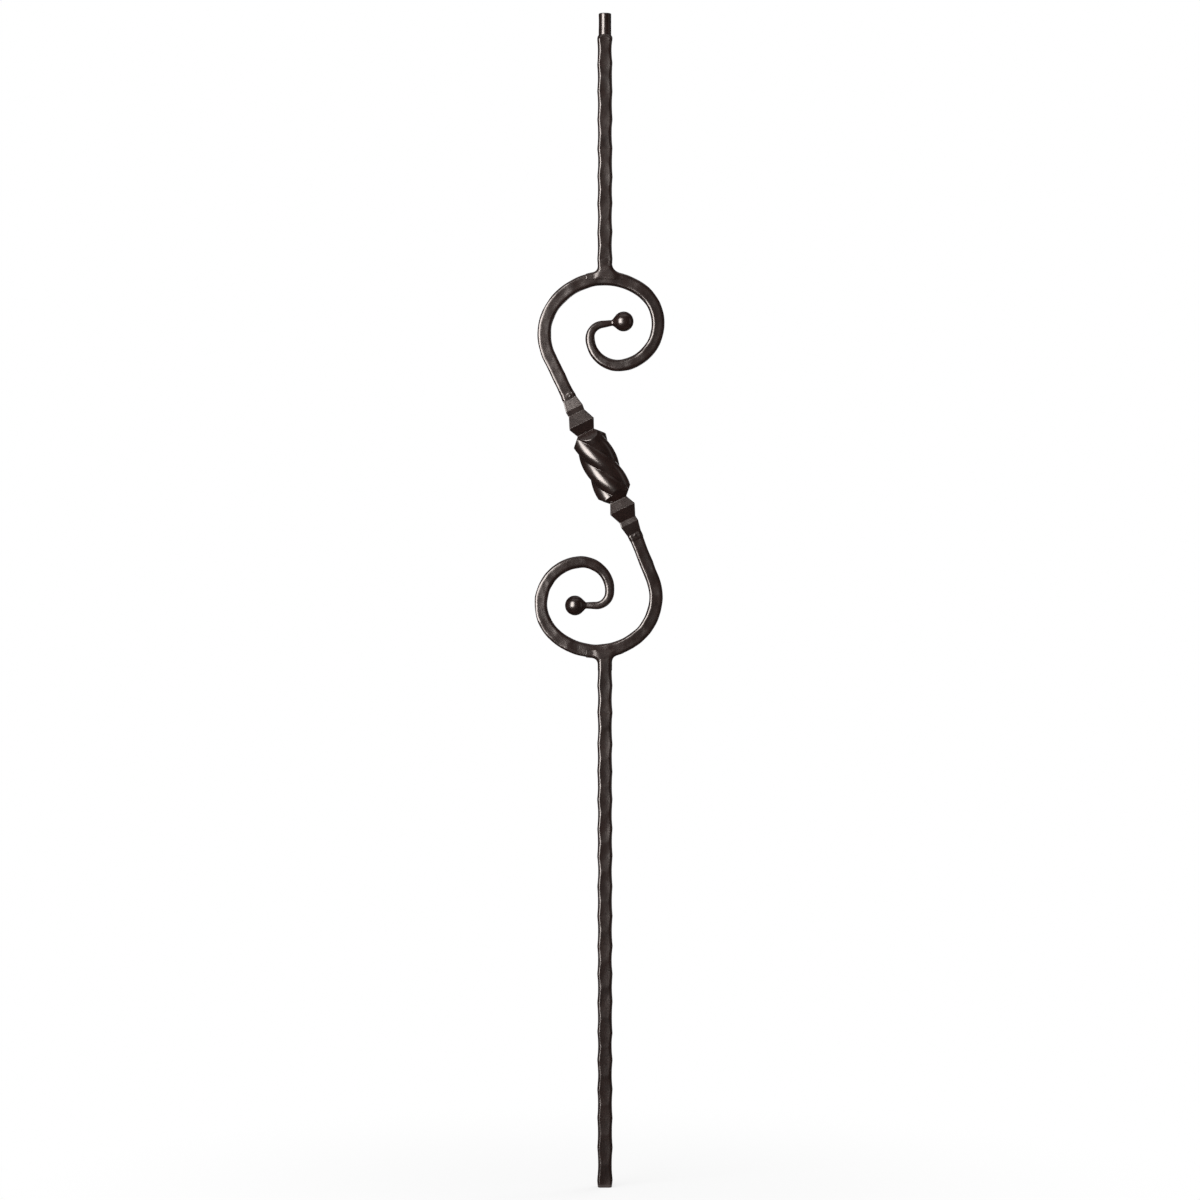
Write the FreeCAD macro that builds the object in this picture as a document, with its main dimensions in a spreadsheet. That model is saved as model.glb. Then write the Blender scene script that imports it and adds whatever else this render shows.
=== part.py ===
"""Forged iron stair baluster, one solid per welded piece.

Frame: millimetres, +Z up, front towards -Y, origin at the middle of the bar's bottom end.
The knuckle's centre lies a little left of the bar line. From it a scroll rises to carry
the upper bar, and its twin, turned half a turn, hangs below and stands on the lower bar.
"""
import FreeCAD, Part
import Sketcher
import math
import os

V = FreeCAD.Vector
UP = V(0, 0, 1)
ACROSS = V(0, 1, 0)

SIZES = [
    ("overall_height", 1118.0, "bottom end to the top of the tenon"),
    ("bar_side", 14.6, "square stock of both straight bars"),
    ("bar_corner", 2.3, "leg of the bars' knocked-down corners"),
    ("dent_depth", 0.85, "hammer dents in the bars' four faces"),
    ("dent_ridge", 0.05, "how far the ridge between two dents lies below the stock"),
    ("upper_dent_pitch", 26.6, "dent to dent on the upper bar"),
    ("lower_dent_pitch", 27.7, "dent to dent on the lower bar"),
    ("shoulder_land", 3.5, "shoulder to the first ridge of the upper bar"),
    ("foot_land", 7.0, "bottom end to the first ridge of the lower bar"),
    ("tenon_diameter", 12.0, "round tenon that enters the handrail"),
    ("tenon_length", 20.0, "shoulder to the tenon's end"),
    ("tenon_edge", 0.7, "chamfer on the tenon's end"),
    ("shoulder_slope", 1.2, "chamfer of the bar round the tenon"),
    ("foot_edge", 1.0, "chamfer round the bottom end"),
    ("pin_hole", 6.8, "cross hole near the bottom end, front to back"),
    ("pin_hole_height", 6.9, "bottom end to the cross hole's centre"),
    ("knuckle_height", 686.4, "bottom end to the knuckle's centre"),
    ("knuckle_left", 2.7, "knuckle's centre left of the bar line"),
    ("knuckle_tilt", 25.65, "degrees that the knuckle leans to the left"),
    ("lobe_radius", 10.63, "round of each of the four twisted lobes"),
    ("lobe_offset", 6.67, "lobe centre to the knuckle's axis"),
    ("quarter_turn", 26.9, "rise of a quarter turn of the twist"),
    ("lobe_front", 6.2, "height above the centre where a lobe faces front"),
    ("neck_reach", 35.5, "centre to the neck beside the twisted body"),
    ("neck_side", 17.0, "square of that neck"),
    ("collar_reach", 44.9, "centre to the collar's crest"),
    ("collar_side", 25.6, "square of the collar's crest"),
    ("waist_reach", 56.0, "centre to the waist beyond the collar"),
    ("waist_side", 16.4, "square of the waist"),
    ("flare_reach", 60.9, "centre to the flare's crest"),
    ("flare_side", 17.5, "square of the flare's crest"),
    ("stem_reach", 71.5, "centre to the knuckle's end face"),
    ("cast_corner", 0.6, "leg of the broken corners of neck, collar and waist"),
    ("flare_corner", 1.2, "leg of the flare's corners"),
    ("pyramid_side", 36.0, "square that the ends of the twisted body slope out to"),
    ("butt_gap", 3.0, "width of the weld between knuckle and scroll"),
    ("butt_crown", 0.6, "how far that weld stands proud on each side"),
    ("scroll_side", 13.4, "square stock of the scrolls"),
    ("scroll_corner", 2.1, "leg of the scrolls' knocked-down corners"),
    ("scroll_radius_one", 49.0, "bending form, first bend from the tail"),
    ("scroll_radius_two", 60.0, "bending form, over the crown"),
    ("scroll_radius_three", 40.0, "bending form, outer turn"),
    ("scroll_radius_four", 27.0, "bending form, inner turn"),
    ("scroll_radius_five", 13.0, "bending form, last bend before the ball"),
    ("upper_sweep_one", 63.0, "degrees of the first bend"),
    ("upper_sweep_two", 85.0, "degrees of the bend over the crown"),
    ("upper_sweep_three", 138.0, "degrees of the outer turn"),
    ("upper_sweep_four", 97.0, "degrees of the inner turn"),
    ("upper_sweep_five", 85.0, "degrees of the last bend"),
    ("lower_sweep_one", 72.0, "degrees of the first bend"),
    ("lower_sweep_two", 82.0, "degrees of the bend over the crown"),
    ("lower_sweep_three", 131.0, "degrees of the outer turn"),
    ("lower_sweep_four", 103.0, "degrees of the inner turn"),
    ("lower_sweep_five", 84.0, "degrees of the last bend"),
    ("upper_bend", 0.0, "degrees between knuckle and scroll tail"),
    ("lower_bend", 4.0, "degrees between knuckle and scroll tail"),
    ("upper_crown", 0.0, "crown's distance from the bar line"),
    ("lower_crown", 7.4, "crown's distance from the bar line"),
    ("turn_side", 11.9, "stock at the end of the outer turn"),
    ("curl_side", 9.4, "stock at the end of the inner turn"),
    ("tip_side", 7.7, "stock at the end of the last bend"),
    ("upper_tip_run", 10.4, "straight from the last bend to the neck of the ball"),
    ("lower_tip_run", 10.0, "straight from the last bend to the neck of the ball"),
    ("upper_neck", 6.0, "thickness behind the ball"),
    ("lower_neck", 7.0, "thickness behind the ball"),
    ("ball_diameter", 19.0, "forged ball at the end of each scroll"),
    ("ball_cone", 45.0, "degrees of the cone from neck to ball"),
    ("seat_depth", 0.8, "how far each bar's end reaches below the scroll's crown"),
    ("fillet_height", 5.5, "weld fillets, leg up the bar"),
    ("fillet_narrow", 4.0, "weld fillets, leg along the scroll, tail side"),
    ("fillet_wide", 7.0, "weld fillets, leg along the scroll, other side"),
    ("fillet_edge", 0.6, "weld fillets, thickness of their upper edge"),
    ("fillet_cover", 0.5, "how far the weld stands proud of the bar's front and back"),
    ("fillet_depth", 4.0, "how far the weld reaches down beside the scroll"),
]

# The five bends of a scroll, from its tail to its ball
BENDS = ["one", "two", "three", "four", "five"]

# Places along the knuckle's axis, each with its square and the leg of its corners
STATIONS = [("neck", "neck_side", "cast_corner"), ("collar", "collar_side", "cast_corner"),
            ("waist", "waist_side", "cast_corner"), ("flare", "flare_side", "flare_corner"),
            ("stem", "scroll_side", "scroll_corner")]

# Flats side by side on each lobe of the twisted body
LOBE_CHORDS = 6

# Points this near to each other count as one
TOUCHING = 1e-6

doc = FreeCAD.newDocument("Baluster")


def make_sheet():
    """Spreadsheet that holds every size as a plain number with a name."""
    sheet = doc.addObject("Spreadsheet::Sheet", "Sizes")
    for row, (alias, number, note) in enumerate(SIZES, start=1):
        sheet.set(f"A{row}", alias)
        sheet.set(f"B{row}", str(number))
        sheet.set(f"C{row}", note)
        sheet.setAlias(f"B{row}", alias)
    doc.recompute()


def value(expression):
    """The number that an expression on the sheet has now."""
    result = doc.Sizes.evalExpression(expression)
    return float(getattr(result, "Value", result))


def bind(thing, **expressions):
    """Tie properties to expressions; two underscores stand for a dot in a property's path."""
    for name, expression in expressions.items():
        thing.setExpression(name.replace("__", "."), expression)


def origin_plane(body, role):
    """A plane or axis of the body's own origin."""
    return next(f for f in body.Origin.OriginFeatures if f.Role == role)


def new_body(name, **placement):
    """Empty body, placed by expressions."""
    body = doc.addObject("PartDesign::Body", name)
    bind(body, **placement)
    return body


def sketch_on(body, name, role):
    """Empty sketch on one of the body's origin planes."""
    sketch = body.newObject("Sketcher::SketchObject", name)
    sketch.AttachmentSupport = (origin_plane(body, role), [""])
    sketch.MapMode = "FlatFace"
    return sketch


def hold(sketch, kind, *where, to):
    """Add a dimension whose size is an expression on the sheet."""
    angle = kind == "Angle"
    number = math.radians(value(to)) if angle else value(to)
    index = sketch.addConstraint(Sketcher.Constraint(kind, *where, number))
    sketch.setExpression(f"Constraints[{index}]", f"({to}) * 1 deg" if angle else to)


def polygon(sketch, corners, first=0):
    """Closed outline of straight lines, joined end to end."""
    points = [V(x, y, 0) for x, y in corners]
    count = len(points)
    for start, end in zip(points, points[1:] + points[:1]):
        sketch.addGeometry(Part.LineSegment(start, end), False)
    for line in range(count):
        after = first + (line + 1) % count
        sketch.addConstraint(Sketcher.Constraint("Coincident", first + line, 2, after, 1))


def octagon(sketch, side, corner):
    """Square outline about the sketch's origin with its corners cut at 45 degrees."""
    outer = f"({side}) / 2"
    inner = f"({side}) / 2 - {corner}"
    far, near = value(outer), value(inner)
    polygon(sketch, [(-near, -far), (near, -far), (far, -near), (far, near),
                     (near, far), (-near, far), (-far, near), (-far, -near)])
    sketch.addConstraint(Sketcher.Constraint("Horizontal", 0))
    sketch.addConstraint(Sketcher.Constraint("Vertical", 2))
    for line in range(4):
        sketch.addConstraint(Sketcher.Constraint("Symmetric", line, 1, line + 4, 1, -1, 1))
    hold(sketch, "DistanceX", 0, 1, -1, 1, to=inner)
    hold(sketch, "DistanceY", 0, 1, -1, 1, to=outer)
    hold(sketch, "DistanceX", -1, 1, 0, 2, to=inner)
    hold(sketch, "DistanceX", -1, 1, 2, 1, to=outer)
    hold(sketch, "DistanceY", 2, 1, -1, 1, to=inner)
    hold(sketch, "DistanceY", -1, 1, 2, 2, to=inner)


def octagon_at(body, name, side, corner, height):
    """Octagon parallel to the body's base plane, at a height on its axis."""
    sketch = sketch_on(body, name, "XY_Plane")
    octagon(sketch, side, corner)
    bind(sketch, AttachmentOffset__Base__z=height)
    return sketch


def scroll_path(body, name, which, side):
    """Middle line of a scroll: straight tail, five tangent arcs and a straight tip.

    It lies in the frame of the knuckle's centre. The arc over the crown has its centre
    on the crown's line, which leaves the tail's length as the only free one.
    """
    radii = [f"Sizes.scroll_radius_{bend}" for bend in BENDS]
    sweeps = [f"Sizes.{which}_sweep_{bend}" for bend in BENDS]
    reach = "(Sizes.stem_reach + Sizes.butt_gap)"
    start_x = f"{reach} * sin(Sizes.knuckle_tilt * 1 deg) + {side} * Sizes.knuckle_left"
    start_z = f"{reach} * cos(Sizes.knuckle_tilt * 1 deg)"
    heading = f"90 + Sizes.knuckle_tilt - Sizes.{which}_bend"
    crown = f"Sizes.{which}_crown"
    tip = f"Sizes.{which}_tip_run"

    x, z, turn = -value(start_x), value(start_z), math.radians(value(heading))
    first, second = value(radii[0]), value(radii[1])
    after = turn - math.radians(value(sweeps[0]))
    run = x + first * (math.sin(turn) - math.sin(after)) + second * math.sin(after)
    tail = (run - value(crown)) / -math.cos(turn)

    sketch = sketch_on(body, name, "XZ_Plane")

    def straight(length):
        nonlocal x, z
        start = V(x, z, 0)
        x += length * math.cos(turn)
        z += length * math.sin(turn)
        sketch.addGeometry(Part.LineSegment(start, V(x, z, 0)), False)

    straight(tail)
    for radius, sweep in zip(radii, sweeps):
        size = value(radius)
        centre = V(x + size * math.sin(turn), z - size * math.cos(turn), 0)
        begin = turn + math.pi / 2
        turn -= math.radians(value(sweep))
        end = turn + math.pi / 2
        circle = Part.Circle(centre, V(0, 0, 1), size)
        sketch.addGeometry(Part.ArcOfCircle(circle, end, begin), False)
        x = centre.x + size * math.cos(end)
        z = centre.y + size * math.sin(end)
    straight(value(tip))

    last = len(radii)
    sketch.addConstraint(Sketcher.Constraint("Tangent", 0, 2, 1, 2))
    for arc in range(1, last):
        sketch.addConstraint(Sketcher.Constraint("Tangent", arc, 1, arc + 1, 2))
    sketch.addConstraint(Sketcher.Constraint("Tangent", last, 1, last + 1, 1))
    hold(sketch, "DistanceX", 0, 1, -1, 1, to=start_x)
    hold(sketch, "DistanceY", -1, 1, 0, 1, to=start_z)
    hold(sketch, "Angle", 0, to=heading)
    for arc, (radius, sweep) in enumerate(zip(radii, sweeps), start=1):
        hold(sketch, "Radius", arc, to=radius)
        hold(sketch, "Angle", arc, to=sweep)
    hold(sketch, "DistanceX", -1, 1, 2, 3, to=crown)
    hold(sketch, "Distance", last + 1, to=tip)
    height = Sketcher.Constraint("DistanceY", -1, 1, 2, 3, sketch.Geometry[2].Center.y)
    index = sketch.addConstraint(height)
    sketch.setDriving(index, False)
    sketch.renameConstraint(index, "crown_centre")
    doc.recompute()
    return sketch


def section_on(body, name, path, edge, side, at_start=False):
    """Octagon square to the path at one end of an arc."""
    sketch = body.newObject("Sketcher::SketchObject", name)
    sketch.AttachmentSupport = [(path, f"Edge{edge}")]
    sketch.MapMode = "FrenetNB"
    sketch.MapPathParameter = 1.0 if at_start else 0.0
    octagon(sketch, side, "Sizes.scroll_corner")
    return sketch


def pipe(body, name, path, edges, profile, end=None):
    """Sweep a section along some of the path's edges, changing to another at the end."""
    sweep = body.newObject("PartDesign::AdditivePipe", name)
    sweep.Profile = profile
    sweep.Spine = (path, [f"Edge{edge}" for edge in edges])
    if end:
        sweep.Transformation = "Multisection"
        sweep.Sections = [(end, [""])]
    doc.recompute()


def scroll(which, side):
    """Scroll drawn down towards its ball, in one piece with it.

    side is 1 for the upper scroll and -1 for the lower one, which is turned half a turn.
    """
    body = new_body(f"{which}_scroll", Placement__Base__z="Sizes.knuckle_height")
    body.Placement.Rotation = FreeCAD.Rotation(ACROSS, 0 if side > 0 else 180)
    path = scroll_path(body, f"{which}_path", which, side)

    stock = section_on(body, f"{which}_stock", path, 2, "Sizes.scroll_side", at_start=True)
    pipe(body, f"{which}_sweep", path, [1, 2, 3], stock)
    sides = ["Sizes.scroll_side", "Sizes.turn_side", "Sizes.curl_side", "Sizes.tip_side"]
    before = None
    for edge, size in enumerate(sides, start=3):
        section = section_on(body, f"{which}_section_{edge}", path, edge, size)
        if before:
            pipe(body, f"{which}_taper_{edge}", path, [edge], before, section)
        before = section

    neck = body.newObject("Sketcher::SketchObject", f"{which}_neck_section")
    neck.AttachmentSupport = [(before, "")]
    neck.MapMode = "ObjectXY"
    bind(neck, AttachmentOffset__Base__z=f"Sizes.{which}_tip_run")
    octagon(neck, f"Sizes.{which}_neck", f"Sizes.{which}_neck * Sizes.scroll_corner / Sizes.tip_side")
    pipe(body, f"{which}_tip", path, [7], before, neck)
    ball_on(body, which, neck)
    return body


def ball_on(body, which, neck):
    """Cone and ball; the cone runs from the neck until it touches the ball all round."""
    slope = "(Sizes.ball_cone * 1 deg)"
    radius = "Sizes.ball_diameter / 2"
    centre = f"{radius} / sin{slope} - Sizes.{which}_neck / 2 / tan{slope}"

    cone = body.newObject("PartDesign::AdditiveCone", f"{which}_cone")
    cone.AttachmentSupport = [(neck, "")]
    cone.MapMode = "ObjectXY"
    bind(cone, Radius1=f"Sizes.{which}_neck / 2", Radius2=f"{radius} * cos{slope}",
         Height=f"{centre} - {radius} * sin{slope}")
    ball = body.newObject("PartDesign::AdditiveSphere", f"{which}_ball")
    ball.AttachmentSupport = [(neck, "")]
    ball.MapMode = "ObjectXY"
    bind(ball, Radius=radius, AttachmentOffset__Base__z=centre)


def arch_reach(which):
    """Knuckle's centre to the outside of the scroll's crown, along the bar line."""
    outside = "(Sizes.scroll_radius_two + Sizes.scroll_side / 2)"
    centre = f"{which}_path.Constraints.crown_centre / 1 mm"
    return f"({centre} + sqrt({outside}^2 - Sizes.{which}_crown^2))"


def bar(name, rise, length, land, pitch):
    """Straight bar from its free end at the body's origin, hammered on all four faces.

    rise is 1 where the bar goes up from that end and -1 where it hangs from it.
    """
    body = new_body(f"{name}_stock")
    outline = sketch_on(body, f"{name}_outline", "XY_Plane")
    octagon(outline, "Sizes.bar_side", "Sizes.bar_corner")
    pad = body.newObject("PartDesign::Pad", f"{name}_pad")
    pad.Profile = outline
    pad.Reversed = rise < 0
    bind(pad, Length=length)
    dents(body, f"{name}_side", "XZ_Plane", rise, f"({land} + {pitch} / 2)", pitch, length)
    dents(body, f"{name}_face", "YZ_Plane", rise, land, pitch, length)
    return body


def dents(body, name, role, rise, first, pitch, length):
    """Row of shallow hollows across two opposite faces, one beside the next."""
    edge = "(Sizes.bar_side / 2 - Sizes.dent_ridge)"
    depth = "(Sizes.dent_depth - Sizes.dent_ridge)"
    radius = f"((({pitch}) / 2)^2 + {depth}^2) / (2 * {depth})"
    outer = "Sizes.bar_side"
    middle = rise * value(first)
    half = value(pitch) / 2
    spread = math.asin(half / value(radius))

    sketch = sketch_on(body, name, role)
    for side in (1, -1):
        arc = sketch.GeometryCount
        centre = V(side * (value(edge) - value(depth) + value(radius)), middle, 0)
        facing = math.pi if side > 0 else 0.0
        circle = Part.Circle(centre, UP, value(radius))
        sketch.addGeometry(Part.ArcOfCircle(circle, facing - spread, facing + spread), False)
        corners = [(edge, -1), (outer, -1), (outer, 1), (edge, 1)]
        points = [V(side * value(x), middle + side * y * half, 0) for x, y in corners]
        for start, end in zip(points, points[1:]):
            sketch.addGeometry(Part.LineSegment(start, end), False)
        for line in range(arc, arc + 3):
            sketch.addConstraint(Sketcher.Constraint("Coincident", line, 2, line + 1, 1))
        sketch.addConstraint(Sketcher.Constraint("Coincident", arc + 3, 2, arc, 1))
        sketch.addConstraint(Sketcher.Constraint("Horizontal", arc + 1))
        sketch.addConstraint(Sketcher.Constraint("Vertical", arc + 2))
        sketch.addConstraint(Sketcher.Constraint("Horizontal", arc + 3))
        sketch.addConstraint(Sketcher.Constraint("Vertical", arc, 1, arc, 2))
        hold(sketch, "Radius", arc, to=radius)
        between(sketch, "DistanceX", (-1, 1), (arc, 1), side, to=edge)
        between(sketch, "DistanceX", (-1, 1), (arc + 2, 1), side, to=outer)
        between(sketch, "DistanceY", (arc, 2), (arc, 1), side, to=pitch)
        between(sketch, "DistanceY", (-1, 1), (arc, 3), rise, to=first)

    cut = body.newObject("PartDesign::Pocket", f"{name}_dent")
    cut.Profile = sketch
    cut.Type = "ThroughAll"
    cut.SideType = "Symmetric"
    row = body.newObject("PartDesign::LinearPattern", f"{name}_dents")
    row.Originals = [cut]
    row.Direction = (origin_plane(body, "Z_Axis"), [""])
    row.Reversed = rise < 0
    row.Mode = "Spacing"
    bind(row, Offset=pitch, Occurrences=f"ceil(({length} - {first}) / {pitch} + 1 / 2)")
    body.Tip = row
    doc.recompute()


def between(sketch, kind, start, end, sign, to):
    """Distance from one point to another, which lie in that order where sign is 1."""
    first, second = (start, end) if sign > 0 else (end, start)
    hold(sketch, kind, *first, *second, to=to)


def upper_bar():
    """Hammered bar with the round tenon on top; it hangs from the tenon's shoulder."""
    top = "(Sizes.overall_height - Sizes.tenon_length)"
    seat = f"(Sizes.knuckle_height + {arch_reach('upper')} - Sizes.seat_depth)"
    body = bar("upper_bar", -1, f"({top} - {seat})", "Sizes.shoulder_land",
               "Sizes.upper_dent_pitch")
    bind(body, Placement__Base__z=top)
    chamfer(body, "upper_bar_slope", 0.0, "Sizes.shoulder_slope")
    ring = sketch_on(body, "tenon_outline", "XY_Plane")
    ring.addGeometry(Part.Circle(V(0, 0, 0), UP, value("Sizes.tenon_diameter / 2")), False)
    ring.addConstraint(Sketcher.Constraint("Coincident", 0, 3, -1, 1))
    hold(ring, "Diameter", 0, to="Sizes.tenon_diameter")
    tenon = body.newObject("PartDesign::Pad", "tenon")
    tenon.Profile = ring
    bind(tenon, Length="Sizes.tenon_length")
    doc.recompute()
    chamfer(body, "tenon_end", value("Sizes.tenon_length"), "Sizes.tenon_edge")
    return body


def lower_bar():
    """Hammered bar that stands on its bottom end, cross drilled for a pin."""
    seat = f"(Sizes.knuckle_height - {arch_reach('lower')} + Sizes.seat_depth)"
    body = bar("lower_bar", 1, seat, "Sizes.foot_land", "Sizes.lower_dent_pitch")
    chamfer(body, "lower_bar_foot", 0.0, "Sizes.foot_edge")
    ring = sketch_on(body, "pin_outline", "XZ_Plane")
    middle = V(0, value("Sizes.pin_hole_height"), 0)
    ring.addGeometry(Part.Circle(middle, UP, value("Sizes.pin_hole / 2")), False)
    ring.addConstraint(Sketcher.Constraint("PointOnObject", 0, 3, -2))
    hold(ring, "DistanceY", -1, 1, 0, 3, to="Sizes.pin_hole_height")
    hold(ring, "Diameter", 0, to="Sizes.pin_hole")
    hole = body.newObject("PartDesign::Pocket", "pin_hole")
    hole.Profile = ring
    hole.Type = "ThroughAll"
    hole.SideType = "Symmetric"
    doc.recompute()
    return body


def chamfer(body, name, height, size):
    """Break the edges of the body that lie at one height above its origin."""
    doc.recompute()
    base = body.Tip
    level = [f"Edge{number}" for number, edge in enumerate(base.Shape.Edges, start=1)
             if all(abs(vertex.Z - height) < TOUCHING for vertex in edge.Vertexes)]
    cut = body.newObject("PartDesign::Chamfer", name)
    cut.Base = (base, level)
    bind(cut, Size=size)
    doc.recompute()


def knuckle():
    """Twisted four-lobed body between square collars, cast or forged in one piece."""
    collars = knuckle_plate(0)
    for turn in (45, 90, 135):
        collars = combine("Common", f"knuckle_collars_{turn}", collars, knuckle_plate(turn))
    lobes = combine("Common", "knuckle_body", twisted_body(), pyramid_block())
    whole = combine("Fuse", "knuckle", collars, lobes)
    on_knuckle(whole)
    doc.recompute()
    return whole


def on_knuckle(thing, turned=False):
    """Put a piece that was made upright about the knuckle's centre in its leaning place."""
    angle = -value("Sizes.knuckle_tilt") + (180 if turned else 0)
    thing.Placement.Rotation = FreeCAD.Rotation(ACROSS, angle)
    bind(thing, Placement__Base__x="-Sizes.knuckle_left", Placement__Base__z="Sizes.knuckle_height")


def knuckle_plate(turn):
    """Plate with the outline of necks, collars and stems, as seen at an angle about the axis.

    Plates square to the sides cut their tapers, and plates on the diagonals the corners.
    """
    body = new_body(f"knuckle_plate_{turn}")
    body.Placement.Rotation = FreeCAD.Rotation(UP, turn)
    sketch = sketch_on(body, f"knuckle_outline_{turn}", "XZ_Plane")
    widths = []
    for _, side, corner in STATIONS:
        across = f"Sizes.{side} / 2"
        diagonal = f"(Sizes.{side} - Sizes.{corner}) / sqrt(2)"
        widths.append(diagonal if turn % 90 else across)
    heights = [f"Sizes.{part}_reach" for part, _, _ in STATIONS]

    upper = [(value(width), value(height)) for width, height in zip(widths, heights)]
    lower = [(x, -y) for x, y in upper]
    right = lower[::-1] + upper
    polygon(sketch, right + [(-x, y) for x, y in reversed(right)])
    count = len(STATIONS)
    for station, (width, height) in enumerate(zip(widths, heights)):
        corner = count + station
        hold(sketch, "DistanceX", -1, 1, corner, 1, to=width)
        hold(sketch, "DistanceY", -1, 1, corner, 1, to=height)
        below, left, opposite = count - 1 - station, 3 * count - 1 - station, 3 * count + station
        sketch.addConstraint(Sketcher.Constraint("Symmetric", corner, 1, below, 1, -1))
        sketch.addConstraint(Sketcher.Constraint("Symmetric", corner, 1, left, 1, -2))
        sketch.addConstraint(Sketcher.Constraint("Symmetric", corner, 1, opposite, 1, -1, 1))

    pad = body.newObject("PartDesign::Pad", f"knuckle_plate_pad_{turn}")
    pad.Profile = sketch
    pad.SideType = "Symmetric"
    bind(pad, Length="2 * Sizes.collar_side")
    doc.recompute()
    return body


def loft(body, name, sections):
    """Straight-sided solid through a row of outlines."""
    skin = body.newObject("PartDesign::AdditiveLoft", name)
    skin.Profile = sections[0]
    skin.Sections = [(section, [""]) for section in sections[1:]]
    skin.Ruled = True
    doc.recompute()


def twisted_body():
    """Four lobes swept up the axis while a helix beside it turns them to the left."""
    body = new_body("knuckle_twist")
    low = "-Sizes.neck_reach"
    turn = "90 * (Sizes.lobe_front + Sizes.neck_reach) / Sizes.quarter_turn"
    outline = sketch_on(body, "knuckle_lobes", "XY_Plane")
    bind(outline, AttachmentOffset__Base__z=low, AttachmentOffset__Rotation__Angle=turn)
    four_lobes(outline)

    line = sketch_on(body, "knuckle_axis", "XZ_Plane")
    reach = value("Sizes.neck_reach")
    line.addGeometry(Part.LineSegment(V(0, -reach, 0), V(0, reach, 0)), False)
    line.addConstraint(Sketcher.Constraint("PointOnObject", 0, 1, -2))
    line.addConstraint(Sketcher.Constraint("Symmetric", 0, 1, 0, 2, -1, 1))
    hold(line, "DistanceY", 0, 1, 0, 2, to="2 * Sizes.neck_reach")

    helix = doc.addObject("Part::Helix", "knuckle_helix")
    helix.LocalCoord = "Left-handed"
    bind(helix, Pitch="4 * Sizes.quarter_turn", Height="2 * Sizes.neck_reach",
         Radius="Sizes.lobe_radius", Placement__Base__z=low)
    doc.recompute()

    twist = body.newObject("PartDesign::AdditivePipe", "knuckle_twist_sweep")
    twist.Profile = outline
    twist.Spine = (line, ["Edge1"])
    twist.Mode = "Auxiliary"
    twist.AuxiliarySpine = (helix, ["Edge1"])
    twist.AuxiliaryCurvilinear = True
    doc.recompute()
    return body


def four_lobes(sketch):
    """Four equal arcs whose centres lie on the axes, each cut into equal chords."""
    radius, offset = value("Sizes.lobe_radius"), value("Sizes.lobe_offset")
    crease = (offset + math.sqrt(2 * radius ** 2 - offset ** 2)) / 2
    spread = math.atan2(crease, crease - offset)
    corners = []
    for lobe in range(4):
        facing = lobe * math.pi / 2
        x, y = offset * math.cos(facing), offset * math.sin(facing)
        circle = Part.Circle(V(x, y, 0), UP, radius)
        sketch.addGeometry(Part.ArcOfCircle(circle, facing - spread, facing + spread), True)
        for chord in range(LOBE_CHORDS):
            angle = facing + (2 * chord / LOBE_CHORDS - 1) * spread
            corners.append((x + radius * math.cos(angle), y + radius * math.sin(angle)))
    for lobe in range(4):
        after = (lobe + 1) % 4
        sketch.addConstraint(Sketcher.Constraint("Coincident", lobe, 2, after, 1))
        sketch.addConstraint(Sketcher.Constraint("PointOnObject", lobe, 3, -1 - lobe % 2))
        hold(sketch, "Radius", lobe, to="Sizes.lobe_radius")
        along = "DistanceY" if lobe % 2 else "DistanceX"
        between(sketch, along, (-1, 1), (lobe, 3), 1 if lobe < 2 else -1, to="Sizes.lobe_offset")

    polygon(sketch, corners, first=4)
    for lobe in range(4):
        first = 4 + lobe * LOBE_CHORDS
        sketch.addConstraint(Sketcher.Constraint("Coincident", first, 1, lobe, 1))
        for line in range(first + 1, first + LOBE_CHORDS):
            sketch.addConstraint(Sketcher.Constraint("PointOnObject", line, 1, lobe))
            sketch.addConstraint(Sketcher.Constraint("Equal", first, line))


def pyramid_block():
    """Square block whose ends slope in at 45 degrees to the necks."""
    body = new_body("knuckle_block")
    outline = sketch_on(body, "knuckle_block_outline", "XY_Plane")
    half = "Sizes.pyramid_side / 2"
    far = value(half)
    polygon(outline, [(-far, -far), (far, -far), (far, far), (-far, far)])
    for line, kind in enumerate(("Horizontal", "Vertical", "Horizontal", "Vertical")):
        outline.addConstraint(Sketcher.Constraint(kind, line))
    for kind in ("DistanceX", "DistanceY"):
        hold(outline, kind, 0, 1, -1, 1, to=half)
        hold(outline, kind, -1, 1, 2, 1, to=half)
    pad = body.newObject("PartDesign::Pad", "knuckle_block_pad")
    pad.Profile = outline
    pad.SideType = "Symmetric"
    bind(pad, Length="2 * Sizes.neck_reach")
    doc.recompute()
    slope = "(Sizes.pyramid_side - Sizes.neck_side) / 2"
    for end, sign in (("top", 1), ("bottom", -1)):
        chamfer(body, f"knuckle_block_{end}", sign * value("Sizes.neck_reach"), slope)
    return body


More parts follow.
